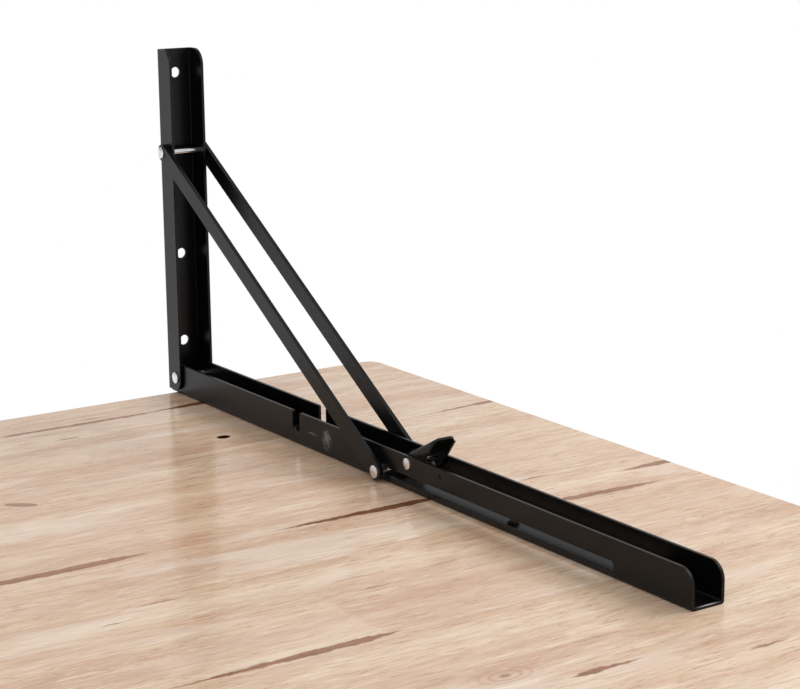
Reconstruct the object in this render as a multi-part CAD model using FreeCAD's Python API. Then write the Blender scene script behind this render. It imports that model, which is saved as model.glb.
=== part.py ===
import FreeCAD, Part
import math
import os

# Wall-mounted folding workbench: a glued-stave worktop on two identical folding brackets.
# Frame: +Z up, wall plane y = 0, worktop reaches out along -Y, X runs along the wall.
# Origin: on the wall plane, midway between the four outer wall screw holes.
# Millimetres throughout.

os.makedirs("parts", exist_ok=True)
Vector = FreeCAD.Vector

# ------------------------------------------------------------------ driving sizes
BOARD_LENGTH = 1220.0            # along X
BRACKET_INSET = 172.0            # bracket centre planes from the ends of the board
BOARD_DEPTH = 762.0              # along Y
BOARD_THICKNESS = 30.0
BOARD_UNDERSIDE = 142.5          # height of the underside above the origin
BOARD_WALL_GAP = 5.8
BOARD_CORNER_RADIUS = 12.0
BOARD_ARRIS = 2.0
STAVE_COUNT = 13
BACK_STAVE_WIDTH = 43.2
FRONT_STAVE_SHARE = 0.842        # the front stave is trimmed to this share of a full one

HINGE_OUT = 13.0                 # hinge pin axis in front of the wall plane
HINGE_DROP = 13.0                # hinge pin axis below the worktop underside

WALL_WIDTH = 28.5
WALL_DEPTH = 20.0
WALL_SHEET = 2.0
WALL_ABOVE_HINGE = 10.0
WALL_BELOW_HINGE = 251.0
WALL_TOP_CORNER = 9.0
WALL_FOOT_CORNER = 12.0
WALL_HOLE_DIAMETER = 7.8
WALL_TOP_HOLE_DROP = 26.0        # below the hinge pin
WALL_MIDDLE_HOLE_DROP = 94.5
WALL_FOOT_HOLE_DROP = 233.0

ARM_WIDTH = 23.6
ARM_HEIGHT = 23.4
ARM_SHEET = 2.0
ARM_REACH = 586.7                # outer end, from the hinge pin
ARM_WALL_GAP = 0.7               # back end of the web to the wall plane
ARM_OUTER_CORNER = 10.0
OUTER_BEND = 2.0
INNER_BEND = 0.6

NOTCH_WIDTH = 9.4                # takes the brace pivot rod when the bench is folded
NOTCH_SHIFT = 1.6
NOTCH_FLOOR = 8.0
NOTCH_LIP = 1.0
SLOT_DROP = 7.3                  # slot centre line below the worktop underside
SLOT_WIDTH = 5.6
SLOT_START = 283.0
SLOT_END = 521.8
SPRING_HOLE_DIAMETER = 3.0
SPRING_HOLE_OUT = 351.6
SPRING_HOLE_DROP = 18.3

PIVOT_OUT = 10.5                 # brace pivot rod in front of the wall plane
PIVOT_DROP = 174.5               # brace pivot rod below the hinge pin
ROD_DIAMETER = 5.0
SLIDER_OUT = 286.5               # slider rod, worktop open, from the hinge pin
BRACE_HALF_WIDTH = 6.0
BRACE_THICKNESS = 3.0
BRACE_WASHER = 1.1

HINGE_PIN_DIAMETER = 6.0
LEVER_PIN_DIAMETER = 4.0
HEAD_RADIUS = 4.3
HEAD_RIM = 1.0
HEAD_CROWN = 0.8
LEVER_HEAD_RADIUS = 3.75
WASHER_RADIUS = 6.0
BUSHING_RADIUS = 4.6

LEVER_OUT = 315.4                # lever pivot, from the hinge pin
LEVER_DROP = 18.4                # lever pivot below the worktop underside
LEVER_SHEET = 1.5
LEVER_SIDE_GAP = 0.4
LEVER_BEND = 2.2
PAD_START = 5.0                  # from the root of the side plates' lower edge
PAD_CROWN = 1.2                  # rise of the pad's middle above its rounded shoulders
PAD_NOSE = 3.2                   # rounded end of the thumb pad beyond the side plates
PAD_RADIUS = 3.0

COIL_OUT = 328.5
COIL_DROP = 19.2
COIL_RADIUS = 3.4
COIL_TURNS = 3                   # whole turns; the legs add the rest
COIL_STEPS = 16                  # straight pieces in each turn
COIL_PITCH = 1.15
COIL_NEAR_FACE = 5.15
WIRE_RADIUS = 0.5
SPRING_END_GAP = 0.3

FIRST_SCREW_OUT = 60.0           # along the arm, from the hinge pin
SCREW_PITCH = 176.5
SCREW_TO_ARM_END = 27.5
SCREW_HEAD_RADIUS = 3.8
SCREW_HEAD_HEIGHT = 2.4
SCREW_SHANK_RADIUS = 2.1
SCREW_LENGTH = 25.0              # under the head
SCREW_POINT = 4.0
SCREW_RECESS_WIDTH = 1.0
SCREW_RECESS_SPAN = 4.4
SCREW_RECESS_DEPTH = 1.3
SCREW_RECESS_TURN = 20.0
SCREW_CROWN_RADIUS = 1.4
SCREW_TIP_RADIUS = 0.3

RUN_FIT = 0.05                   # radial clearance of a pin in the hole it turns in
END_GAP = 0.3                    # slider rod and bushings to the braces
SCREW_HOLE_FIT = 0.2

# ------------------------------------------------------------------ derived sizes
BRACKET_SPACING = BOARD_LENGTH - 2 * BRACKET_INSET
STAVE_WIDTH = (BOARD_DEPTH - BACK_STAVE_WIDTH) / (STAVE_COUNT - 2 + FRONT_STAVE_SHARE)
HINGE_Z = BOARD_UNDERSIDE - HINGE_DROP
WALL_HALF = WALL_WIDTH / 2
ARM_HALF = ARM_WIDTH / 2
ARM_INSIDE = ARM_HALF - ARM_SHEET
BRACE_INNER_FACE = WALL_HALF + BRACE_WASHER
BRACE_OUTER_FACE = BRACE_INNER_FACE + BRACE_THICKNESS
HINGE_WASHER = WALL_HALF - WALL_SHEET - ARM_HALF
ARM_BACK_RADIUS = ARM_HEIGHT - HINGE_DROP
LEVER_HALF = ARM_INSIDE - LEVER_SIDE_GAP
SCREW_POSITIONS = (
    FIRST_SCREW_OUT,
    FIRST_SCREW_OUT + SCREW_PITCH,
    FIRST_SCREW_OUT + 2 * SCREW_PITCH,
    ARM_REACH - SCREW_TO_ARM_END,
)


def wall_point(out, height):
    """Point in the bracket's centre plane, `out` in front of the wall plane."""
    return Vector(0, -out, height)


def arm_point(along, drop):
    """Point in the centre plane, `along` the arm from the hinge pin, `drop` below the worktop."""
    return Vector(0, -(HINGE_OUT + along), BOARD_UNDERSIDE - drop)


HINGE = arm_point(0, HINGE_DROP)
PIVOT = wall_point(PIVOT_OUT, HINGE_Z - PIVOT_DROP)
SLIDER = arm_point(SLIDER_OUT, SLOT_DROP)
LEVER_PIVOT = arm_point(LEVER_OUT, LEVER_DROP)
SPRING_HOLE = arm_point(SPRING_HOLE_OUT, SPRING_HOLE_DROP)
COIL = arm_point(COIL_OUT, COIL_DROP)


# ------------------------------------------------------------------ building blocks
def rounded_outline(corners):
    """Closed wire through corners given as (point, radius), each corner rounded to its radius."""
    edges = []
    arcs = []
    for index, (here, radius) in enumerate(corners):
        before = corners[index - 1][0] - here
        after = corners[(index + 1) % len(corners)][0] - here
        before.normalize()
        after.normalize()
        if radius == 0:
            arcs.append((here, here, here))
            continue
        half_angle = before.getAngle(after) / 2
        run = radius / math.tan(half_angle)
        bisector = before + after
        bisector.normalize()
        middle = here + bisector * (radius / math.sin(half_angle) - radius)
        arcs.append((here + before * run, middle, here + after * run))
    for index, (start, middle, end) in enumerate(arcs):
        if (end - start).Length > 1e-6:
            edges.append(Part.Arc(start, middle, end).toShape())
        following = arcs[(index + 1) % len(arcs)][0]
        if (following - end).Length > 1e-6:
            edges.append(Part.makeLine(end, following))
    return Part.Wire(Part.__sortEdges__(edges))


def side_plate(wire, start, end):
    """Sheet cut to a side-view outline, from x = start to x = end."""
    face = Part.Face(wire)
    face.translate(Vector(start, 0, 0))
    return face.extrude(Vector(end - start, 0, 0))


def cross_cylinder(centre, radius, start, end):
    """Cylinder along X through a side-view point, from x = start to x = end."""
    base = centre + Vector(start, 0, 0)
    return Part.makeCylinder(radius, end - start, base, Vector(1, 0, 0))


def through_hole(centre, radius):
    """Hole across the whole bracket."""
    return cross_cylinder(centre, radius, -2 * WALL_WIDTH, 2 * WALL_WIDTH)


def capsule(start, end, radius):
    """Closed outline of a straight bar or slot with full round ends."""
    along = end - start
    along.normalize()
    across = Vector(0, -along.z, along.y) * radius
    tip = along * radius
    return Part.Wire([
        Part.makeLine(start + across, end + across),
        Part.Arc(end + across, end + tip, end - across).toShape(),
        Part.makeLine(end - across, start - across),
        Part.Arc(start - across, start - tip, start + across).toShape(),
    ])


def bent_channel(width, depth, sheet, outer_bend, inner_bend, start, end):
    """Channel along +Z, back on y = 0, open toward -Y, with rounded bends."""
    half = width / 2
    inside = half - sheet
    corners = [
        (Vector(-half, -depth, start), 0),
        (Vector(-half, 0, start), outer_bend),
        (Vector(half, 0, start), outer_bend),
        (Vector(half, -depth, start), 0),
        (Vector(inside, -depth, start), 0),
        (Vector(inside, -sheet, start), inner_bend),
        (Vector(-inside, -sheet, start), inner_bend),
        (Vector(-inside, -depth, start), 0),
    ]
    return Part.Face(rounded_outline(corners)).extrude(Vector(0, 0, end - start))


def head_profile(base, side, radius):
    """Outline of a domed head from its seat at x = base to its crown on the axis."""
    dome_radius = (radius ** 2 + HEAD_CROWN ** 2) / (2 * HEAD_CROWN)
    dome_centre = HEAD_RIM + HEAD_CROWN - dome_radius
    middle_height = dome_centre + math.sqrt(dome_radius ** 2 - (radius / 2) ** 2)
    rim = Vector(base + side * HEAD_RIM, radius, 0)
    middle = Vector(base + side * middle_height, radius / 2, 0)
    crown = Vector(base + side * (HEAD_RIM + HEAD_CROWN), 0, 0)
    edges = [
        Part.makeLine(Vector(base, radius, 0), rim),
        Part.Arc(rim, middle, crown).toShape(),
    ]
    return edges, crown


def turned_about_x(edges, centre):
    """Solid of revolution about the X axis, set on a side-view point."""
    face = Part.Face(Part.Wire(Part.__sortEdges__(edges)))
    solid = face.revolve(Vector(0, 0, 0), Vector(1, 0, 0), 360)
    solid.translate(centre)
    return solid


def headed_pin(centre, shank_radius, half_length, head_radius):
    """Pin across the bracket with a domed head on each end."""
    near_edges, near_crown = head_profile(half_length, 1, head_radius)
    far_edges, far_crown = head_profile(-half_length, -1, head_radius)
    shank = [
        Part.makeLine(Vector(half_length, head_radius, 0), Vector(half_length, shank_radius, 0)),
        Part.makeLine(Vector(half_length, shank_radius, 0), Vector(-half_length, shank_radius, 0)),
        Part.makeLine(Vector(-half_length, shank_radius, 0), Vector(-half_length, head_radius, 0)),
        Part.makeLine(near_crown, far_crown),
    ]
    return turned_about_x(near_edges + far_edges + shank, centre)


def headed_rivet(centre, shank_radius, face, side, length, head_radius):
    """Rivet with its domed head seated on x = face and its shank running inward."""
    edges, crown = head_profile(face, side, head_radius)
    end = face - side * length
    edges.extend([
        Part.makeLine(Vector(face, head_radius, 0), Vector(face, shank_radius, 0)),
        Part.makeLine(Vector(face, shank_radius, 0), Vector(end, shank_radius, 0)),
        Part.makeLine(Vector(end, shank_radius, 0), Vector(end, 0, 0)),
        Part.makeLine(Vector(end, 0, 0), crown),
    ])
    return turned_about_x(edges, centre)


def ring(centre, outer_radius, inner_radius, start, end):
    """Washer or bushing around an X axis."""
    body = cross_cylinder(centre, outer_radius, start, end)
    return body.cut(cross_cylinder(centre, inner_radius, start - 1, end + 1))


def ring_pair(centre, outer_radius, inner_radius, start, end):
    """The same ring on both sides of the bracket's centre plane."""
    near = ring(centre, outer_radius, inner_radius, start, end)
    far = ring(centre, outer_radius, inner_radius, -end, -start)
    return Part.makeCompound([near, far])


# ------------------------------------------------------------------ one folding bracket
def wall_channel():
    """Wall leg: upright channel open toward the room, three screw holes in its back."""
    top = HINGE_Z + WALL_ABOVE_HINGE
    foot = HINGE_Z - WALL_BELOW_HINGE
    section = bent_channel(WALL_WIDTH, WALL_DEPTH, WALL_SHEET, OUTER_BEND, INNER_BEND, foot, top)
    outline = rounded_outline([
        (wall_point(0, foot), 0),
        (wall_point(0, top), 0),
        (wall_point(WALL_DEPTH, top), WALL_TOP_CORNER),
        (wall_point(WALL_DEPTH, foot), WALL_FOOT_CORNER),
    ])
    channel = section.common(side_plate(outline, -WALL_HALF, WALL_HALF))
    holes = [
        through_hole(HINGE, HINGE_PIN_DIAMETER / 2 + RUN_FIT),
        through_hole(PIVOT, ROD_DIAMETER / 2 + RUN_FIT),
    ]
    for drop in (WALL_TOP_HOLE_DROP, WALL_MIDDLE_HOLE_DROP, WALL_FOOT_HOLE_DROP):
        base = wall_point(-1, HINGE_Z - drop)
        holes.append(Part.makeCylinder(WALL_HOLE_DIAMETER / 2, WALL_SHEET + 2, base, Vector(0, -1, 0)))
    return channel.cut(holes)


def rod_notch():
    """Open notch in the free edges of the arm, round-bottomed, with eased lips."""
    centre = PIVOT_DROP + NOTCH_SHIFT
    half = NOTCH_WIDTH / 2
    lip = ARM_HEIGHT - NOTCH_LIP
    mouth = half + NOTCH_LIP
    floor = rounded_outline([
        (arm_point(centre - half, NOTCH_FLOOR), half * 0.999),
        (arm_point(centre + half, NOTCH_FLOOR), half * 0.999),
        (arm_point(centre + half, ARM_HEIGHT), 0),
        (arm_point(centre - half, ARM_HEIGHT), 0),
    ])
    easing = Part.makePolygon([
        arm_point(centre - half, lip),
        arm_point(centre + half, lip),
        arm_point(centre + mouth, ARM_HEIGHT + 0.01),
        arm_point(centre - mouth, ARM_HEIGHT + 0.01),
        arm_point(centre - half, lip),
    ])
    throat = side_plate(floor, -ARM_WIDTH, ARM_WIDTH)
    return throat.fuse(side_plate(easing, -ARM_WIDTH, ARM_WIDTH))


def arm_channel():
    """Worktop arm: channel with its back against the underside, slotted for the slider rod.

    Kept as three touching solids, the back with its bends and one flange on each side, so
    that each is nearly flat and the hollow between them stays open.
    """
    start = ARM_WALL_GAP
    end = HINGE_OUT + ARM_REACH
    section = bent_channel(ARM_WIDTH, ARM_HEIGHT, ARM_SHEET, OUTER_BEND, INNER_BEND, start, end)
    section.rotate(Vector(0, 0, 0), Vector(1, 0, 0), 90)
    section.translate(Vector(0, 0, BOARD_UNDERSIDE))
    web_back = ARM_WALL_GAP - HINGE_OUT
    stub = ARM_SHEET + INNER_BEND
    outline = rounded_outline([
        (arm_point(web_back, 0), 0),
        (arm_point(web_back, stub), 0),
        (arm_point(-ARM_BACK_RADIUS, stub), 0),
        (arm_point(-ARM_BACK_RADIUS, ARM_HEIGHT), ARM_BACK_RADIUS),
        (arm_point(ARM_REACH, ARM_HEIGHT), ARM_OUTER_CORNER),
        (arm_point(ARM_REACH, 0), 0),
    ])
    channel = section.common(side_plate(outline, -ARM_HALF, ARM_HALF))
    slot_radius = SLOT_WIDTH / 2
    slot = capsule(
        arm_point(SLOT_START + slot_radius, SLOT_DROP),
        arm_point(SLOT_END - slot_radius, SLOT_DROP),
        slot_radius,
    )
    cuts = [
        side_plate(slot, -ARM_WIDTH, ARM_WIDTH),
        rod_notch(),
        through_hole(HINGE, HINGE_PIN_DIAMETER / 2 + RUN_FIT),
        through_hole(LEVER_PIVOT, LEVER_PIN_DIAMETER / 2 + RUN_FIT),
        cross_cylinder(SPRING_HOLE, SPRING_HOLE_DIAMETER / 2, ARM_INSIDE - 1, ARM_HALF + 1),
    ]
    for along in SCREW_POSITIONS:
        base = arm_point(along, ARM_SHEET + 1)
        radius = SCREW_SHANK_RADIUS + SCREW_HOLE_FIT
        cuts.append(Part.makeCylinder(radius, ARM_SHEET + 2, base, Vector(0, 0, 1)))
    channel = channel.cut(cuts)
    back_slab = Part.makeBox(
        2 * ARM_WIDTH, ARM_REACH + 4 * HINGE_OUT, stub + 1,
        arm_point(ARM_REACH + HINGE_OUT, stub) - Vector(ARM_WIDTH, 0, 0),
    )
    back = channel.common(back_slab)
    flanges = channel.cut(back_slab)
    return Part.makeCompound(back.Solids + flanges.Solids)


def brace(side):
    """Flat brace bar from the pivot rod to the slider, outside both channels."""
    faces = sorted((side * BRACE_INNER_FACE, side * BRACE_OUTER_FACE))
    bar = side_plate(capsule(PIVOT, SLIDER, BRACE_HALF_WIDTH), faces[0], faces[1])
    hole = ROD_DIAMETER / 2 + RUN_FIT
    return bar.cut([through_hole(PIVOT, hole), through_hole(SLIDER, hole)])


def brace_rivets():
    """Rivets set into the slider ends of both braces, heads outside."""
    return Part.makeCompound([
        headed_rivet(SLIDER, ROD_DIAMETER / 2, side * BRACE_OUTER_FACE, side,
                     BRACE_THICKNESS, HEAD_RADIUS)
        for side in (1, -1)
    ])


def slider_rod():
    """Rod through both slots, ending just short of the braces."""
    end = BRACE_INNER_FACE - END_GAP
    rod = cross_cylinder(SLIDER, ROD_DIAMETER / 2, -end, end)
    return rod.makeChamfer(0.4, [edge for edge in rod.Edges if edge.Length < 5 * ROD_DIAMETER
                                 and edge.Curve.TypeId == "Part::GeomCircle"])


def release_lever():
    """Bent stamping: two hooked side plates joined along their lower edge by a thumb pad."""
    root = arm_point(309.8, 22.6)
    tip = arm_point(337.7, 37.4)
    foot = arm_point(330.4, 23.8)
    outline = rounded_outline([
        (tip, 0.8),
        (arm_point(340.2, 36.2), 0.8),
        (foot, 3.0),
        (arm_point(325.0, 17.0), 3.0),
        (arm_point(317.0, 12.0), 3.0),
        (arm_point(307.0, 12.0), 2.0),
        (arm_point(297.0, 14.0), 2.0),
        (arm_point(293.6, 10.2), 0.8),
        (arm_point(288.4, 10.2), 0.8),
        (arm_point(288.4, 18.6), 2.5),
        (root, 4.0),
    ])
    along = tip - root
    pad_end = along.Length - LEVER_BEND / 4
    along.normalize()
    inward = foot - root
    inward = inward - along * inward.dot(along)
    inward.normalize()

    bend_strip = Part.makePolygon([
        root + along * PAD_START - inward,
        root + along * (pad_end + LEVER_BEND) - inward,
        root + along * (pad_end + LEVER_BEND) + inward * LEVER_BEND,
        root + along * PAD_START + inward * LEVER_BEND,
        root + along * PAD_START - inward,
    ])
    plates = []
    for start in (LEVER_HALF - LEVER_SHEET, -LEVER_HALF):
        plate = side_plate(outline, start, start + LEVER_SHEET)
        plates.append(plate.cut(side_plate(bend_strip, -LEVER_HALF - 1, LEVER_HALF + 1)))

    inside = LEVER_HALF - LEVER_SHEET
    crest = LEVER_HALF / 2
    pad_section = Part.Face(rounded_outline([
        (Vector(-LEVER_HALF, -LEVER_BEND, PAD_START), 0),
        (Vector(-LEVER_HALF, 0, PAD_START), LEVER_BEND - 0.2),
        (Vector(-crest, PAD_CROWN, PAD_START), PAD_RADIUS),
        (Vector(crest, PAD_CROWN, PAD_START), PAD_RADIUS),
        (Vector(LEVER_HALF, 0, PAD_START), LEVER_BEND - 0.2),
        (Vector(LEVER_HALF, -LEVER_BEND, PAD_START), 0),
        (Vector(inside, -LEVER_BEND, PAD_START), 0),
        (Vector(inside, -LEVER_SHEET, PAD_START), 0.5),
        (Vector(crest, PAD_CROWN - LEVER_SHEET, PAD_START), PAD_RADIUS),
        (Vector(-crest, PAD_CROWN - LEVER_SHEET, PAD_START), PAD_RADIUS),
        (Vector(-inside, -LEVER_SHEET, PAD_START), 0.5),
        (Vector(-inside, -LEVER_BEND, PAD_START), 0),
    ]))
    nose = pad_end + PAD_NOSE
    pad_plan = Part.Face(rounded_outline([
        (Vector(-LEVER_HALF, -2 * LEVER_BEND, PAD_START), 0),
        (Vector(-LEVER_HALF, -2 * LEVER_BEND, pad_end), 0),
        (Vector(-LEVER_HALF * 0.75, -2 * LEVER_BEND, nose), PAD_RADIUS),
        (Vector(LEVER_HALF * 0.75, -2 * LEVER_BEND, nose), PAD_RADIUS),
        (Vector(LEVER_HALF, -2 * LEVER_BEND, pad_end), 0),
        (Vector(LEVER_HALF, -2 * LEVER_BEND, PAD_START), 0),
    ]))
    pad = pad_section.extrude(Vector(0, 0, nose - PAD_START))
    pad = pad.common(pad_plan.extrude(Vector(0, 4 * LEVER_BEND, 0)))
    across = along.cross(inward)
    pad.transformShape(FreeCAD.Matrix(
        across.x, 0, 0, root.x,
        0, -inward.y, along.y, root.y,
        0, -inward.z, along.z, root.z,
        0, 0, 0, 1,
    ))
    lever = plates[0].fuse([plates[1], pad]).removeSplitter()
    lever = lever.cut(through_hole(LEVER_PIVOT, LEVER_PIN_DIAMETER / 2 + RUN_FIT))
    anchor = cross_cylinder(SPRING_ANCHOR, 2 * WIRE_RADIUS, -LEVER_HALF - 1, 0)
    return lever.cut(anchor)


SPRING_ANCHOR = arm_point(319.6, 21.0)


def tangent_from_coil(target, side):
    """Point where a straight leg toward the target leaves the coil."""
    reach = target - COIL
    base = math.atan2(reach.z, reach.y)
    turn = math.acos(COIL_RADIUS / reach.Length)
    angle = base + side * turn
    return COIL + Vector(0, math.cos(angle), math.sin(angle)) * COIL_RADIUS


def eased_path(points, radius):
    """The points of a path with each inner corner replaced by a short three-point bend."""
    eased = [points[0]]
    for before, here, after in zip(points, points[1:], points[2:]):
        arriving = here - before
        leaving = after - here
        arriving.normalize()
        leaving.normalize()
        start = here - arriving * radius
        end = here + leaving * radius
        middle = (start + end) * 0.3 + here * 0.4
        eased.extend([start, middle, end])
    eased.append(points[-1])
    return eased


def swept_wire(points):
    """Eight-sided wire along a path of points."""
    first = points[1] - points[0]
    first.normalize()
    outward = first.cross(Vector(1, 0, 0))
    if outward.Length < 0.5:
        outward = first.cross(Vector(0, 0, 1))
    sections = []
    for index, here in enumerate(points):
        before = points[max(index - 1, 0)]
        after = points[min(index + 1, len(points) - 1)]
        along = after - before
        along.normalize()
        outward = outward - along * outward.dot(along)
        outward.normalize()
        across = along.cross(outward)
        corners = []
        for side in range(8):
            angle = math.pi * side / 4
            corners.append(here + (outward * math.cos(angle) + across * math.sin(angle)) * WIRE_RADIUS)
        sections.append(Part.makePolygon(corners + corners[:1]))
    return Part.makeLoft(sections, True, True)


def lever_spring():
    """Torsion spring: coil across the arm, one leg in the arm flange, one in the lever."""
    seat = SPRING_HOLE + Vector(0, SPRING_HOLE_DIAMETER / 2 - WIRE_RADIUS - RUN_FIT, 0)
    near_leg = tangent_from_coil(seat, 1)
    far_leg = tangent_from_coil(SPRING_ANCHOR, -1)
    start = near_leg - COIL
    end = far_leg - COIL
    start_angle = math.atan2(start.z, start.y)
    sweep = (math.atan2(end.z, end.y) - start_angle) % (2 * math.pi) + COIL_TURNS * 2 * math.pi
    steps = COIL_TURNS * COIL_STEPS
    coil = []
    for step in range(steps + 1):
        angle = start_angle + sweep * step / steps
        spot = Vector(0, math.cos(angle), math.sin(angle)) * COIL_RADIUS
        spot.x = COIL_NEAR_FACE - COIL_PITCH * sweep * step / steps / (2 * math.pi)
        coil.append(COIL + spot)
    far_x = Vector(coil[-1].x, 0, 0)
    near_run = [
        seat + Vector(ARM_HALF - SPRING_END_GAP, 0, 0),
        seat + Vector(COIL_NEAR_FACE, 0, 0),
    ]
    far_run = [
        SPRING_ANCHOR + far_x,
        SPRING_ANCHOR + Vector(-LEVER_HALF + SPRING_END_GAP, 0, 0),
    ]
    return swept_wire(eased_path(near_run + coil[:1], 2 * WIRE_RADIUS)[:-1]
                      + coil
                      + eased_path(coil[-1:] + far_run, 2 * WIRE_RADIUS)[1:])


def worktop_screw(along):
    """Cross-recess pan-head wood screw driven up through the arm into the worktop."""
    seat = arm_point(along, ARM_SHEET)
    top = SCREW_LENGTH
    crown = Vector(SCREW_CROWN_RADIUS, 0, -SCREW_HEAD_HEIGHT)
    shoulder = Vector(SCREW_HEAD_RADIUS * 0.8, 0, -SCREW_HEAD_HEIGHT * 0.78)
    rim = Vector(SCREW_HEAD_RADIUS, 0, -SCREW_HEAD_HEIGHT / 3)
    shank_end = Vector(SCREW_SHANK_RADIUS, 0, top - SCREW_POINT)
    profile = Part.Wire([
        Part.makeLine(Vector(0, 0, -SCREW_HEAD_HEIGHT), Vector(0, 0, top)),
        Part.makeLine(Vector(0, 0, top), Vector(SCREW_TIP_RADIUS, 0, top)),
        Part.makeLine(Vector(SCREW_TIP_RADIUS, 0, top), shank_end),
        Part.makeLine(shank_end, Vector(SCREW_SHANK_RADIUS, 0, 0)),
        Part.makeLine(Vector(SCREW_SHANK_RADIUS, 0, 0), Vector(SCREW_HEAD_RADIUS, 0, 0)),
        Part.makeLine(Vector(SCREW_HEAD_RADIUS, 0, 0), rim),
        Part.Arc(rim, shoulder, crown).toShape(),
        Part.makeLine(crown, Vector(0, 0, -SCREW_HEAD_HEIGHT)),
    ])
    screw = Part.Face(profile).revolve(Vector(0, 0, 0), Vector(0, 0, 1), 360)
    blades = []
    for turn in (SCREW_RECESS_TURN, SCREW_RECESS_TURN + 90):
        blade = Part.makeBox(
            SCREW_RECESS_SPAN, SCREW_RECESS_WIDTH, SCREW_RECESS_DEPTH + 1,
            Vector(-SCREW_RECESS_SPAN / 2, -SCREW_RECESS_WIDTH / 2, -SCREW_HEAD_HEIGHT - 1),
        )
        blade.rotate(Vector(0, 0, 0), Vector(0, 0, 1), turn)
        blades.append(blade)
    screw = screw.cut(blades[0].fuse(blades[1]).removeSplitter())
    screw.translate(seat)
    return screw


def bracket_pieces():
    """All pieces of one bracket about its own centre plane."""
    arm_washer_start = ARM_HALF
    rod_hole = ROD_DIAMETER / 2 + RUN_FIT
    return {
        "wall_channel": wall_channel(),
        "arm_channel": arm_channel(),
        "hinge_pin": headed_pin(HINGE, HINGE_PIN_DIAMETER / 2, WALL_HALF, HEAD_RADIUS),
        "hinge_washers": ring_pair(
            HINGE, WASHER_RADIUS, HINGE_PIN_DIAMETER / 2 + RUN_FIT,
            arm_washer_start, arm_washer_start + HINGE_WASHER,
        ),
        "brace_pivot_rod": headed_pin(PIVOT, ROD_DIAMETER / 2, BRACE_OUTER_FACE, HEAD_RADIUS),
        "brace_pivot_washers": ring_pair(
            PIVOT, WASHER_RADIUS, rod_hole, WALL_HALF, BRACE_INNER_FACE,
        ),
        "brace_outer": brace(1),
        "brace_inner": brace(-1),
        "brace_rivets": brace_rivets(),
        "slider_rod": slider_rod(),
        "slider_bushings": ring_pair(
            SLIDER, BUSHING_RADIUS, rod_hole, ARM_HALF, BRACE_INNER_FACE - END_GAP,
        ),
        "release_lever": release_lever(),
        "lever_pin": headed_pin(LEVER_PIVOT, LEVER_PIN_DIAMETER / 2, ARM_HALF, LEVER_HEAD_RADIUS),
        "lever_spring": lever_spring(),
        "worktop_screws": Part.makeCompound([worktop_screw(along) for along in SCREW_POSITIONS]),
    }


# ------------------------------------------------------------------ worktop
def worktop_board():
    """Whole board with rounded corners, eased edges and the drilled screw pilots."""
    back = -BOARD_WALL_GAP
    board = Part.makeBox(
        BOARD_LENGTH, BOARD_DEPTH, BOARD_THICKNESS,
        Vector(-BOARD_LENGTH / 2, back - BOARD_DEPTH, BOARD_UNDERSIDE),
    )
    uprights = [edge for edge in board.Edges if abs(edge.Length - BOARD_THICKNESS) < 1e-6]
    board = board.makeFillet(BOARD_CORNER_RADIUS, uprights)
    rims = []
    for face in board.Faces:
        if abs(face.normalAt(0, 0).z) > 0.99:
            rims.extend(face.Edges)
    board = board.makeFillet(BOARD_ARRIS, rims)
    pilots = []
    for side in (1, -1):
        for along in SCREW_POSITIONS:
            seat = arm_point(along, ARM_SHEET) + Vector(side * BRACKET_SPACING / 2, 0, 0)
            depth = SCREW_LENGTH - SCREW_POINT
            body = Part.makeCylinder(SCREW_SHANK_RADIUS, depth, seat, Vector(0, 0, 1))
            point = Part.makeCone(SCREW_SHANK_RADIUS, SCREW_TIP_RADIUS, SCREW_POINT,
                                  seat + Vector(0, 0, depth), Vector(0, 0, 1))
            pilots.extend([body, point])
    return board.cut(pilots)


def stave_edges():
    """Distances of the stave joints from the board's back edge."""
    edges = [0.0, BACK_STAVE_WIDTH]
    for _ in range(STAVE_COUNT - 2):
        edges.append(edges[-1] + STAVE_WIDTH)
    edges.append(BOARD_DEPTH)
    return edges


def worktop_staves():
    """The board cut along its glue lines into full-length staves, back to front."""
    board = worktop_board()
    edges = stave_edges()
    staves = []
    for back, front in zip(edges, edges[1:]):
        slab = Part.makeBox(
            BOARD_LENGTH + 2, front - back, BOARD_THICKNESS + 2,
            Vector(-BOARD_LENGTH / 2 - 1, -BOARD_WALL_GAP - front, BOARD_UNDERSIDE - 1),
        )
        staves.append(board.common(slab))
    return staves


# ------------------------------------------------------------------ export
pieces = bracket_pieces()
for side_name, side_sign in (("left", -1), ("right", 1)):
    for piece_name, shape in pieces.items():
        placed = shape.copy()
        placed.translate(Vector(side_sign * BRACKET_SPACING / 2, 0, 0))
        placed.exportStep("parts/%s_%s.step" % (piece_name, side_name))
for number, stave in enumerate(worktop_staves(), start=1):
    stave.exportStep("parts/worktop_stave_%02d.step" % number)
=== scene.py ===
import math
import random
import bpy
from mathutils import Matrix, Vector


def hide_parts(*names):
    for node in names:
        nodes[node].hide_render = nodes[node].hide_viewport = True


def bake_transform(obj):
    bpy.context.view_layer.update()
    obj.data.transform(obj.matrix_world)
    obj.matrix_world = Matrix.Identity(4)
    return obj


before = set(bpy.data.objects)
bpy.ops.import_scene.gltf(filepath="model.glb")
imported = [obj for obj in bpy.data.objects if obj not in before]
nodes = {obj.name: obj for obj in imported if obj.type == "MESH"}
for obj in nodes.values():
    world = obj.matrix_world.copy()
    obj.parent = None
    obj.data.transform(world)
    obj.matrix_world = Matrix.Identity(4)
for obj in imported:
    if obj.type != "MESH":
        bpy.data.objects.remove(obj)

random.seed(7)
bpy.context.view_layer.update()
scene = bpy.context.scene

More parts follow.
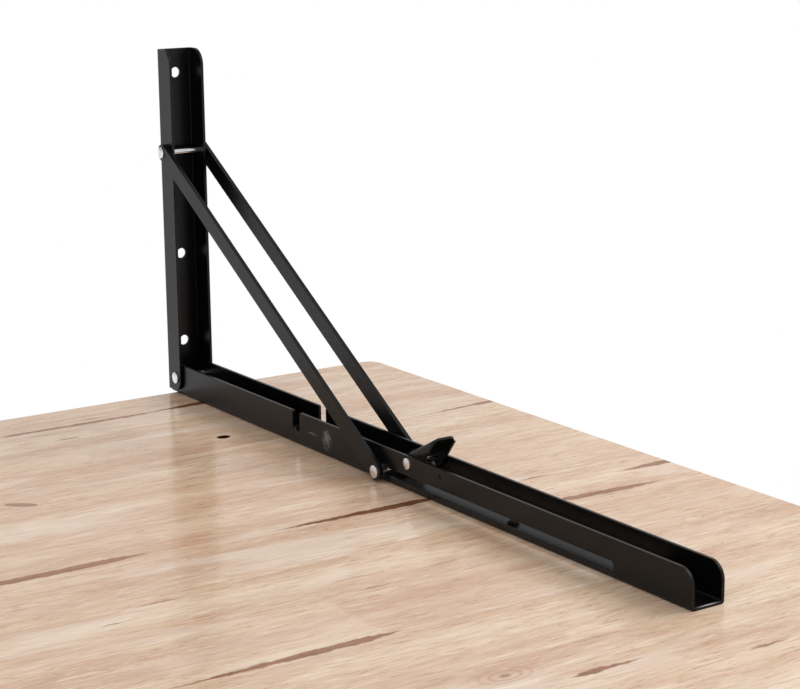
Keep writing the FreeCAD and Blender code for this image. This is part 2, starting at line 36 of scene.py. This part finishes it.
BRACKET_X = -0.438         # centre plane of the left bracket, the one in the photograph
BRACKET_HALF = 0.01425     # half the width of its wall channel
ARM_START = 0.013          # from the wall to the hinge, where marks along the arm are measured from
NEAR_FLANGE_X = -0.4262    # outside of the arm's near flange
UNDERSIDE_Z = 0.1425       # underside of the worktop
SHARP_ANGLE = 32           # degrees, above which an edge stays sharp

# ---------------------------------------------------------------- node helpers


class Graph:
    """A material's node tree with short ways to add and join nodes."""

    def __init__(self, name):
        self.material = bpy.data.materials.new(name)
        self.material.use_nodes = True
        self.tree = self.material.node_tree
        self.tree.nodes.clear()

    def node(self, kind, settings=None, **sockets):
        made = self.tree.nodes.new(kind)
        for key, value in (settings or {}).items():
            setattr(made, key, value)
        for key, value in sockets.items():
            self.feed(made.inputs[key.replace("_", " ")], value)
        return made

    def feed(self, socket, value):
        """Join a socket to another node's output, or set its own value."""
        if isinstance(value, bpy.types.NodeSocket):
            self.tree.links.new(value, socket)
        else:
            socket.default_value = value

    def math(self, operation, a, b=0.0):
        made = self.node("ShaderNodeMath", {"operation": operation})
        self.feed(made.inputs[0], a)
        self.feed(made.inputs[1], b)
        return made.outputs[0]

    def vector(self, operation, a, b=(0, 0, 0)):
        made = self.node("ShaderNodeVectorMath", {"operation": operation})
        self.feed(made.inputs[0], a)
        self.feed(made.inputs[1], b)
        return made.outputs["Value" if operation in ("DOT_PRODUCT", "LENGTH") else "Vector"]

    def ramp(self, value, low, high, out_low=0.0, out_high=1.0, smooth=True):
        """Map a value from low..high to out_low..out_high; low may be above high."""
        kind = "SMOOTHSTEP" if smooth else "LINEAR"
        made = self.node("ShaderNodeMapRange", {"interpolation_type": kind})
        self.feed(made.inputs["Value"], value)
        self.feed(made.inputs["From Min"], low)
        self.feed(made.inputs["From Max"], high)
        self.feed(made.inputs["To Min"], out_low)
        self.feed(made.inputs["To Max"], out_high)
        return made.outputs["Result"]

    def mix(self, factor, a, b, blend="MIX"):
        made = self.node("ShaderNodeMix", {"data_type": "RGBA", "blend_type": blend,
                                           "clamp_factor": True})
        self.feed(made.inputs[0], factor)
        self.feed(made.inputs[6], a)
        self.feed(made.inputs[7], b)
        return made.outputs[2]

    def tint(self, colour, mask, strength, shade):
        """Mix a shade into a colour where the mask is set."""
        return self.mix(self.math("MULTIPLY", mask, strength), colour, shade)

    def noise(self, vector, scale, detail=3.0, roughness=0.55, distortion=0.0):
        made = self.node("ShaderNodeTexNoise", Scale=scale, Detail=detail, Roughness=roughness,
                         Distortion=distortion)
        self.feed(made.inputs["Vector"], vector)
        return made.outputs["Fac"]

    def stretch(self, vector, scale):
        made = self.node("ShaderNodeMapping", Vector=vector)
        made.inputs["Scale"].default_value = scale
        return made.outputs["Vector"]

    def place(self):
        """Object coordinates: metres in the shared frame at rest, and they move with the piece."""
        return self.node("ShaderNodeTexCoord").outputs["Object"]

    def bevel(self):
        """Normal of the sheet with its edges eased by 0.3 mm."""
        return self.node("ShaderNodeBevel", {"samples": 6}, Radius=0.0003).outputs["Normal"]

    def edge(self, bevelled):
        """Mask of the sheet's edges: where the bevelled normal turns away from the face."""
        face = self.node("ShaderNodeNewGeometry").outputs["Normal"]
        return self.ramp(self.vector("DOT_PRODUCT", bevelled, face), 0.995, 0.9)

    def finish(self, shader):
        output = self.node("ShaderNodeOutputMaterial")
        self.tree.links.new(shader.outputs["BSDF"], output.inputs["Surface"])
        return self.material


def rgb(red, green, blue):
    """A colour given as it looks on screen, 0 to 255, as linear light."""
    def linear(value):
        value = value / 255
        return value / 12.92 if value <= 0.04045 else ((value + 0.055) / 1.055) ** 2.4
    return (linear(red), linear(green), linear(blue), 1)


def spot(g, place, centre, radii):
    """Distance field of an ellipsoid, 0 at its centre and 1 at its rim."""
    offset = g.vector("SUBTRACT", place, centre)
    return g.vector("LENGTH", g.stretch(offset, tuple(1 / radius for radius in radii)))


# ---------------------------------------------------------------- metal finishes
RUBBED_COAT = (0.06, 0.06, 0.06, 1)
# Light grey of the coat scratched bare, also used as a painted highlight on an edge.
SCRATCH_AND_GLINT_COAT = (0.78, 0.78, 0.8, 1)


def powder_coat(name, dark, light, wear=0.5, scuffs_and_glints=()):
    """Satin black powder coat: near-even tone, fine orange peel, rubbed edges, and any scuffs.

    A scuff is its centre, its radii, its strength and the scale of its scratches, or 0 for none; the
    same kind of entry can also paint a highlight on an edge.
    """
    g = Graph(name)
    place = g.place()
    cloud = g.noise(place, 24.0, 4.0)
    speck = g.noise(place, 1400.0, 2.0)
    bevelled = g.bevel()
    edge = g.edge(bevelled)
    rubbed = g.math("MULTIPLY", edge, g.ramp(g.noise(place, 120.0, 3.0), 0.42, 0.7))
    colour = g.mix(g.ramp(cloud, 0.3, 0.7), dark, light)
    colour = g.tint(colour, rubbed, wear, RUBBED_COAT)
    # Scuffs lighten the coat to scratched grey; the same mix paints a highlight where one is listed.
    for centre, radii, strength, grit in scuffs_and_glints:
        scuff_and_glint = g.math("MULTIPLY", g.ramp(spot(g, place, centre, radii), 1.0, 0.15), strength)
        if grit:
            scratches = g.noise(g.stretch(place, (1.0, 1.0, 0.7)), grit, 4.0, 0.7, 2.0)
            scuff_and_glint = g.math("MULTIPLY", scuff_and_glint, g.ramp(scratches, 0.5, 0.62))
        colour = g.mix(scuff_and_glint, colour, SCRATCH_AND_GLINT_COAT)
    rough = g.math("ADD", g.ramp(cloud, 0.3, 0.7, 0.298, 0.303), g.math("MULTIPLY", edge, 0.12))
    bump = g.node("ShaderNodeBump", Strength=0.03, Distance=0.0001, Height=speck, Normal=bevelled)
    bsdf = g.node("ShaderNodeBsdfPrincipled", Base_Color=colour, Roughness=rough,
                  Normal=bump.outputs["Normal"])
    bsdf.inputs["Specular IOR Level"].default_value = 0.22
    return g.finish(bsdf)


def bare_steel(name, dark, light, roughness, along=(1, 1, 1)):
    """Plated or drawn steel: brushed tone and roughness, dirt in scattered patches."""
    g = Graph(name)
    place = g.place()
    brushed = g.noise(g.stretch(place, along), 260.0, 4.0, 0.6)
    cloud = g.noise(place, 90.0, 3.0)
    colour = g.mix(g.ramp(brushed, 0.25, 0.75), dark, light)
    colour = g.tint(colour, g.ramp(cloud, 0.55, 0.75), 0.35, dark)
    colour = g.tint(colour, g.edge(g.bevel()), 0.25, light)
    rough = g.ramp(brushed, 0.2, 0.8, roughness - 0.06, roughness + 0.1)
    bump = g.node("ShaderNodeBump", Strength=0.15, Distance=0.00005, Height=brushed)
    bsdf = g.node("ShaderNodeBsdfPrincipled", Base_Color=colour, Roughness=rough, Metallic=1.0,
                  Normal=bump.outputs["Normal"])
    return g.finish(bsdf)


COAT_DARK, COAT_LIGHT = rgb(7, 6, 6), rgb(9, 8, 8)
ARM_SCUFFS_AND_GLINT = (
    # a scraped patch behind the notch, its bright core, and a thin line beside it
    ((NEAR_FLANGE_X, -0.2300, 0.1310), (0.004, 0.0085, 0.0095), 0.6, 620.0),
    ((NEAR_FLANGE_X, -0.2290, 0.1285), (0.004, 0.0022, 0.0065), 0.7, 1100.0),
    ((NEAR_FLANGE_X, -0.2115, 0.1305), (0.004, 0.0090, 0.0011), 0.7, 900.0),
    # painted highlight: a light line on the web's front edge at the arm's front end, where it catches
    # the light
    ((BRACKET_X, -0.5998, 0.1407), (0.0102, 0.0008, 0.0005), 0.8, 0),
)
black_coat = powder_coat("black_powder_coat", COAT_DARK, COAT_LIGHT)
arm_coat = powder_coat("arm_powder_coat", COAT_DARK, COAT_LIGHT, scuffs_and_glints=ARM_SCUFFS_AND_GLINT)
# The lever wears the same black powder coat; its lighter colour is painted light that lifts its
# shaded faces.
lever_coat_painted_lighter = powder_coat("lever_powder_coat_painted_lighter", rgb(28, 27, 26), rgb(34, 33, 32))
screw_black = powder_coat("black_phosphate", rgb(8, 7, 7), rgb(16, 15, 15), wear=0.8)
bright_steel = bare_steel("zinc_plate", rgb(214, 214, 214), rgb(244, 244, 243), 0.3)
rod_steel = bare_steel("ground_rod", rgb(200, 199, 197), rgb(240, 239, 238), 0.1, (60, 1, 1))
dark_steel = bare_steel("blackened_steel", rgb(44, 44, 46), rgb(82, 82, 84), 0.36)
wire_steel = bare_steel("spring_wire", rgb(84, 84, 86), rgb(150, 150, 152), 0.28)
bushing_steel = bare_steel("turned_bushing", rgb(120, 119, 117), rgb(180, 178, 175), 0.26)


# ---------------------------------------------------------------- marks in the wood
# Dark mineral streaks on the underside. Each is its place along the arm, and its two ends across
# from the bracket (mm), then its half width and slope (m), and its near and far tapers.
STREAKS = (
    (38.6, -162, -20, 0.0028, 0.0, (0.05, 0.3)),
    (35.0, -50, 8, 0.0042, -0.004, (0.7, 0.05)),
    (29.5, -99, -70, 0.0016, 0.0, (0.4, 0.4)),
    (70, -138, -110, 0.0019, 0.0, (0.4, 0.4)),
    (159.6, 98, 190, 0.003, -0.0064, (0.8, 0.02)),
    (338, -124, 12, 0.0044, 0.002, (0.65, 0.1)),
    (392.8, 68, 158, 0.0042, 0.005, (0.1, 0.4)),
    (328.5, -345, -184, 0.0044, 0.0, (0.02, 0.2)),
    (338.4, 70, 107, 0.0016, 0.0, (0.4, 0.4)),
    (360.5, 136, 196, 0.0046, 0.0, (0.6, 0.02)),
    (519.2, -294, -134, 0.004, 0.0, (0.6, 0.16)),
    (620.6, -110, -54, 0.004, 0.0, (0.3, 0.75)),
    (407, -244, -203, 0.0014, 0.0, (0.4, 0.4)),
    (423.2, -270, -250, 0.0013, 0.0, (0.4, 0.4)),
    (455, -131, -96, 0.0013, 0.0, (0.4, 0.4)),
    (644, -16, 22, 0.0018, 0.0, (0.4, 0.4)),
)
DEEP_STREAKS = (1, 5)      # the two beside the bracket, nearly black
STREAK_SOFT = 0.0013       # width of a streak's soft border


def to_board(along, across):
    """Scene y and x of a mark on the underside: `along` the arm, `across` from the bracket."""
    return (-(ARM_START + along / 1000), BRACKET_X + BRACKET_HALF - across / 1000)


def streak_group():
    """Mask of one dark mineral streak along the grain, tapered at both ends."""
    group = bpy.data.node_groups.new("grain_streak", "ShaderNodeTree")
    group.interface.new_socket("Place", in_out="INPUT", socket_type="NodeSocketVector")
    for label in ("Start", "End", "Line", "Slope", "Half", "Soft", "Near Taper", "Far Taper"):
        group.interface.new_socket(label, in_out="INPUT", socket_type="NodeSocketFloat")
    group.interface.new_socket("Mask", in_out="OUTPUT", socket_type="NodeSocketFloat")
    source = group.nodes.new("NodeGroupInput").outputs
    sink = group.nodes.new("NodeGroupOutput").inputs

    def calc(operation, a, b=0.0, clamp=False):
        made = group.nodes.new("ShaderNodeMath")
        made.operation = operation
        made.use_clamp = clamp
        for socket, value in zip(made.inputs, (a, b)):
            if isinstance(value, bpy.types.NodeSocket):
                group.links.new(value, socket)
            else:
                socket.default_value = value
        return made.outputs[0]

    split = group.nodes.new("ShaderNodeSeparateXYZ")
    group.links.new(source["Place"], split.inputs[0])
    ragged = group.nodes.new("ShaderNodeTexNoise")
    group.links.new(source["Place"], ragged.inputs["Vector"])
    ragged.inputs["Scale"].default_value = 160.0
    ragged.inputs["Detail"].default_value = 3.0
    centred = calc("MULTIPLY", calc("SUBTRACT", ragged.outputs["Fac"], 0.5), 0.0042)
    span = calc("SUBTRACT", source["End"], source["Start"])
    run = calc("DIVIDE", calc("SUBTRACT", split.outputs[0], source["Start"]), span)
    far_end = calc("DIVIDE", run, source["Far Taper"], clamp=True)
    near_end = calc("DIVIDE", calc("SUBTRACT", 1.0, run), source["Near Taper"], clamp=True)
    width = calc("MULTIPLY", source["Half"], calc("MULTIPLY", far_end, near_end))
    line = calc("ADD", source["Line"], calc("MULTIPLY", source["Slope"], run))
    off = calc("ABSOLUTE", calc("ADD", calc("SUBTRACT", split.outputs[1], line), centred))
    depth = calc("DIVIDE", calc("SUBTRACT", width, off), source["Soft"], clamp=True)
    present = calc("MULTIPLY", calc("GREATER_THAN", run, 0.0), calc("LESS_THAN", run, 1.0))
    group.links.new(calc("MULTIPLY", depth, present), sink["Mask"])
    return group


STREAK = streak_group()


def streak(g, place, along, across_from, across_to, half, slope, tapers):
    """Mask of one of the STREAKS."""
    line, start = to_board(along, across_to)
    end = to_board(along, across_from)[1]
    made = g.node("ShaderNodeGroup", {"node_tree": STREAK}, Place=place, Start=start, End=end,
                  Line=line, Slope=slope, Half=half, Soft=STREAK_SOFT,
                  Near_Taper=tapers[0], Far_Taper=tapers[1])
    return made.outputs["Mask"]


def knot(g, place, along, across, radius, squeeze):
    """Distance field of an oval knot in the underside."""
    y, x = to_board(along, across)
    return spot(g, place, (x, y, UNDERSIDE_Z), (radius, radius * squeeze, radius))


def slanted_knot(g, place, centre, rows):
    """Distance field of an oval across the grain; the rows turn metres from its centre (x, y)
    into shares of its two half axes."""
    offset = g.vector("SUBTRACT", place, (*centre, 0))
    shares = [g.vector("DOT_PRODUCT", offset, (*row, 0)) for row in rows]
    return g.math("SQRT", g.math("ADD", *(g.math("MULTIPLY", share, share) for share in shares)))


# ---------------------------------------------------------------- wood
def butt_joint(g, axes, fleck, colour):
    """Two lengths of a stave meet end to end at x = -0.276: paler beyond it, redder before it."""
    row = g.math("MULTIPLY", g.ramp(axes["Y"], -0.535, -0.530), g.ramp(axes["Y"], -0.444, -0.496))
    seam = g.math("ADD", axes["X"], g.math("MULTIPLY", g.math("SUBTRACT", fleck, 0.5), 0.024))
    redder = g.math("MULTIPLY", g.ramp(seam, -0.2745, -0.2775), g.ramp(axes["X"], -0.42, -0.34))
    paler = g.math("MULTIPLY", g.ramp(seam, -0.2775, -0.2745), g.ramp(axes["X"], -0.13, -0.24))
    colour = g.tint(colour, g.math("MULTIPLY", row, redder), 0.26, rgb(184, 132, 106))
    return g.tint(colour, g.math("MULTIPLY", row, paler), 0.15, rgb(224, 196, 172))


def lacquered_wood():
    """Pale staves: grain, flecks and pores of each stave's own, the streaks and knots of the
    photograph on the underside, and a glossy coat over them."""
    g = Graph("lacquered_staves")
    place = g.place()
    axes = g.node("ShaderNodeSeparateXYZ", Vector=place).outputs
    tone = g.node("ShaderNodeAttribute", {"attribute_type": "OBJECT",
                                          "attribute_name": "tone"}).outputs["Fac"]
    offset = g.node("ShaderNodeCombineXYZ", X=g.math("MULTIPLY", tone, 7.3),
                    Y=g.math("MULTIPLY", tone, 3.1), Z=g.math("MULTIPLY", tone, 1.7))
    grain_place = g.vector("ADD", place, offset.outputs[0])

    broad = g.noise(g.stretch(grain_place, (1.6, 16.0, 16.0)), 2.2, 4.0, 0.6, 0.6)
    medium = g.noise(g.stretch(grain_place, (7.0, 60.0, 60.0)), 3.2, 5.0, 0.6, 0.3)
    fleck = g.noise(g.stretch(grain_place, (34.0, 250.0, 250.0)), 1.4, 4.0, 0.7, 0.4)
    fine = g.noise(g.stretch(grain_place, (20.0, 420.0, 420.0)), 2.6, 4.0, 0.65, 0.2)
    pores = g.noise(g.stretch(grain_place, (70.0, 460.0, 460.0)), 1.3, 3.0, 0.6)
    blotch = g.noise(g.stretch(grain_place, (1.3, 7.0, 7.0)), 3.4, 4.0, 0.6, 0.5)

    colour = g.mix(g.ramp(broad, 0.3, 0.7), rgb(196, 154, 124), rgb(217, 184, 154))
    colour = g.tint(colour, g.ramp(medium, 0.48, 0.74), 0.3, rgb(182, 130, 100))
    colour = g.tint(colour, g.ramp(medium, 0.46, 0.24), 0.3, rgb(230, 206, 180))
    colour = g.tint(colour, g.ramp(fleck, 0.5, 0.72), 0.62, rgb(166, 114, 84))
    colour = g.tint(colour, g.ramp(fleck, 0.46, 0.28), 0.6, rgb(234, 210, 184))
    colour = g.tint(colour, g.ramp(fine, 0.5, 0.72), 0.42, rgb(156, 104, 76))
    colour = g.tint(colour, g.ramp(pores, 0.6, 0.72), g.ramp(blotch, 0.62, 0.4, 0.2, 0.7),
                    rgb(124, 78, 52))
    colour = g.tint(colour, g.ramp(blotch, 0.5, 0.68), 0.4, rgb(230, 208, 190))
    colour = g.tint(colour, g.ramp(blotch, 0.46, 0.3), 0.25, rgb(196, 140, 108))
    colour = g.mix(g.ramp(tone, 0.0, 1.0, 0.0, 0.22, smooth=False), colour, rgb(196, 150, 120))
    colour = butt_joint(g, axes, fleck, colour)

    near_underside = g.ramp(axes["Z"], UNDERSIDE_Z + 0.009, UNDERSIDE_Z + 0.003)
    marks = [streak(g, place, *numbers) for numbers in STREAKS]
    total = marks[0]
    for mask in marks[1:]:
        total = g.math("MAXIMUM", total, mask)
    total = g.math("MULTIPLY", total, near_underside)
    deep = g.math("MULTIPLY", g.math("MAXIMUM", *(marks[index] for index in DEEP_STREAKS)),
                  near_underside)
    streak_tone = g.mix(g.ramp(fleck, 0.35, 0.65), rgb(122, 72, 44), rgb(150, 98, 66))
    colour = g.tint(colour, total, 0.94, streak_tone)
    colour = g.tint(colour, deep, 0.55, rgb(58, 18, 4))

    ring_knot = knot(g, place, 600, -132, 0.024, 0.55)
    waves = g.math("ADD", ring_knot, g.math("MULTIPLY", broad, 0.5))
    rings = g.math("SINE", g.math("MULTIPLY", waves, 24.0))
    colour = g.tint(colour, g.ramp(ring_knot, 1.1, 0.45), g.ramp(rings, -0.2, 1.0, 0.18, 0.5),
                    rgb(168, 112, 82))
    core = g.math("MULTIPLY", g.ramp(ring_knot, 0.16, 0.06), 0.5)
    dead_knot = g.ramp(knot(g, place, 130.6, -30.9, 0.0052, 0.8), 1.1, 0.85)
    pale_knot = slanted_knot(g, place, (-0.2096, -0.2101), ((-86.4, -37.3), (145.7, -203.9)))
    pale_knot = g.math("MULTIPLY", g.ramp(pale_knot, 1.1, 0.9), near_underside)
    colour = g.tint(colour, pale_knot, 0.85, rgb(140, 88, 62))
    colour = g.mix(g.math("MAXIMUM", core, dead_knot), colour, rgb(30, 12, 6))

    # All the shades above are lifted together to the photograph's light, less yellow wood.
    colour = g.mix(1.0, colour, (1.21, 1.37, 1.48, 1), "MULTIPLY")

    height = g.math("ADD", g.math("MULTIPLY", fine, 0.6), g.math("MULTIPLY", pores, 0.4))
    bump = g.node("ShaderNodeBump", Strength=0.08, Distance=0.0004, Height=height)
    coat_wave = g.noise(g.stretch(place, (3.0, 9.0, 9.0)), 10.0, 2.0)
    coat_ripple = g.noise(g.stretch(place, (20.0, 60.0, 60.0)), 2.5, 3.0)
    coat_height = g.math("ADD", g.math("ADD", coat_wave, g.math("MULTIPLY", fleck, 0.4)),
                         g.math("MULTIPLY", coat_ripple, 0.8))
    coat_bump = g.node("ShaderNodeBump", Strength=0.6, Distance=0.0006, Height=coat_height)
    bsdf = g.node("ShaderNodeBsdfPrincipled", Base_Color=colour,
                  Roughness=g.ramp(fine, 0.3, 0.7, 0.42, 0.56), Normal=bump.outputs["Normal"])
    bsdf.inputs["Specular IOR Level"].default_value = 0.0
    covered = g.math("MULTIPLY", g.ramp(dead_knot, 0.0, 1.0, 0.95, 0.0),
                     g.ramp(total, 0.0, 1.0, 1.0, 0.85))
    covered = g.math("MULTIPLY", covered, g.ramp(deep, 0.0, 1.0, 1.0, 0.5))
    g.feed(bsdf.inputs["Coat Weight"], covered)
    bsdf.inputs["Coat Roughness"].default_value = 0.13
    bsdf.inputs["Coat IOR"].default_value = 1.6
    g.feed(bsdf.inputs["Coat Normal"], coat_bump.outputs["Normal"])
    return g.finish(bsdf)


wood = lacquered_wood()

# ---------------------------------------------------------------- pieces
FINISH = {
    "wall_channel": black_coat, "arm_channel": arm_coat, "brace_outer": black_coat,
    "brace_inner": black_coat, "release_lever": lever_coat_painted_lighter, "hinge_washers": dark_steel,
    "brace_pivot_washers": dark_steel, "slider_bushings": bushing_steel,
    "hinge_pin": bright_steel, "brace_pivot_rod": rod_steel, "brace_rivets": bright_steel,
    "slider_rod": rod_steel, "lever_pin": bright_steel, "lever_spring": wire_steel,
    "worktop_screws": screw_black,
}


def smooth_sides(obj):
    """Round faces shade smoothly, real corners stay sharp."""
    for polygon in obj.data.polygons:
        polygon.use_smooth = True
    obj.data.set_sharp_from_angle(angle=math.radians(SHARP_ANGLE))


for name, obj in nodes.items():
    obj.data.materials.clear()
    if name.startswith("worktop_stave"):
        obj.data.materials.append(wood)
        obj["tone"] = random.random()
    else:
        obj.data.materials.append(FINISH[name.rsplit("_", 1)[0]])
    smooth_sides(obj)

# Each spring is drawn as a copy of its mesh, baked into place, with the solid hidden; in the real
# bracket the far leg stays hooked in the arm and the near leg turns with the lever.
for side in ("left", "right"):
    solid = nodes["lever_spring_" + side]
    wire = bpy.data.objects.new("bending_spring_" + side, solid.data.copy())
    scene.collection.objects.link(wire)
    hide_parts("lever_spring_" + side)
    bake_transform(wire)

# ---------------------------------------------------------------- floor
FLOOR_Z = -0.9
FLOOR_HALF = 30

floor_mesh = bpy.data.meshes.new("studio_floor")
corners = [(x * FLOOR_HALF, y * FLOOR_HALF, FLOOR_Z) for x, y in ((-1, -1), (1, -1), (1, 1), (-1, 1))]
floor_mesh.from_pydata(corners, [], [(0, 1, 2, 3)])
floor = bpy.data.objects.new("studio_floor", floor_mesh)
scene.collection.objects.link(floor)
pale = Graph("pale_floor")
mottled = pale.mix(pale.noise(pale.place(), 3.0), (0.86, 0.86, 0.86, 1), (0.9, 0.9, 0.9, 1))
floor_mesh.materials.append(pale.finish(
    pale.node("ShaderNodeBsdfPrincipled", Roughness=0.8, Base_Color=mottled)))
floor.visible_shadow = False

# ---------------------------------------------------------------- light
world = bpy.data.worlds.new("studio")
scene.world = world
world.use_nodes = True
sky = world.node_tree
sky.nodes.clear()


def background(colour, strength):
    made = sky.nodes.new("ShaderNodeBackground")
    made.inputs["Color"].default_value = colour
    made.inputs["Strength"].default_value = strength
    return made.outputs[0]


def switch(ray, otherwise, then):
    """Shader `then` for one kind of ray, `otherwise` for the rest."""
    made = sky.nodes.new("ShaderNodeMixShader")
    sky.links.new(rays.outputs[ray], made.inputs[0])
    sky.links.new(otherwise, made.inputs[1])
    sky.links.new(then, made.inputs[2])
    return made.outputs[0]


rays = sky.nodes.new("ShaderNodeLightPath")
light_on_part = background((1, 1, 1, 1), 0.62)
mirrored = background((0.99, 1, 1.05, 1), 1.0)
seen = background((1, 1, 1, 1), 1.0)
sky_shader = switch("Is Camera Ray", switch("Is Glossy Ray", light_on_part, mirrored), seen)
sky.links.new(sky_shader, sky.nodes.new("ShaderNodeOutputWorld").inputs["Surface"])


def softbox(name, place, target, side, power):
    """Square area light at a place, facing a target."""
    data = bpy.data.lights.new(name, "AREA")
    data.shape = "RECTANGLE"
    data.size = side
    data.size_y = side
    data.energy = power
    light = bpy.data.objects.new(name, data)
    light.location = place
    light.rotation_mode = "QUATERNION"
    light.rotation_quaternion = (Vector(target) - Vector(place)).to_track_quat("-Z", "Y")
    light.visible_camera = False
    scene.collection.objects.link(light)


middle = Vector((-0.43, -0.30, 0.10))
softbox("key_below", middle + Vector((-1.5, -0.5, -1.2)), middle, 1.1, 24)
softbox("fill_below", middle + Vector((1.2, 0.4, -1.6)), middle, 1.6, 4)
softbox("key_above", (0.9, -2.0, 2.4), (0, -0.4, 0.17), 1.8, 34)

# ---------------------------------------------------------------- camera
# Fitted to the photograph, which shows the bench upside down: the camera looks up from below.
camera_data = bpy.data.cameras.new("camera")
camera = bpy.data.objects.new("camera", camera_data)
scene.collection.objects.link(camera)
scene.camera = camera
camera_data.sensor_width = 36.0
camera_data.lens = 89.8
camera_data.clip_start = 0.01
look = Vector((-0.5417, 0.8105, 0.2229)).normalized()
up = Vector((-0.1317, 0.1800, -0.9748))
right = look.cross(up).normalized()
up = right.cross(look).normalized()
camera.matrix_world = Matrix((
    (right.x, up.x, -look.x, 0.2639),
    (right.y, up.y, -look.y, -1.3536),
    (right.z, up.z, -look.z, -0.2373),
    (0, 0, 0, 1),
))

scene.view_settings.view_transform = "Standard"
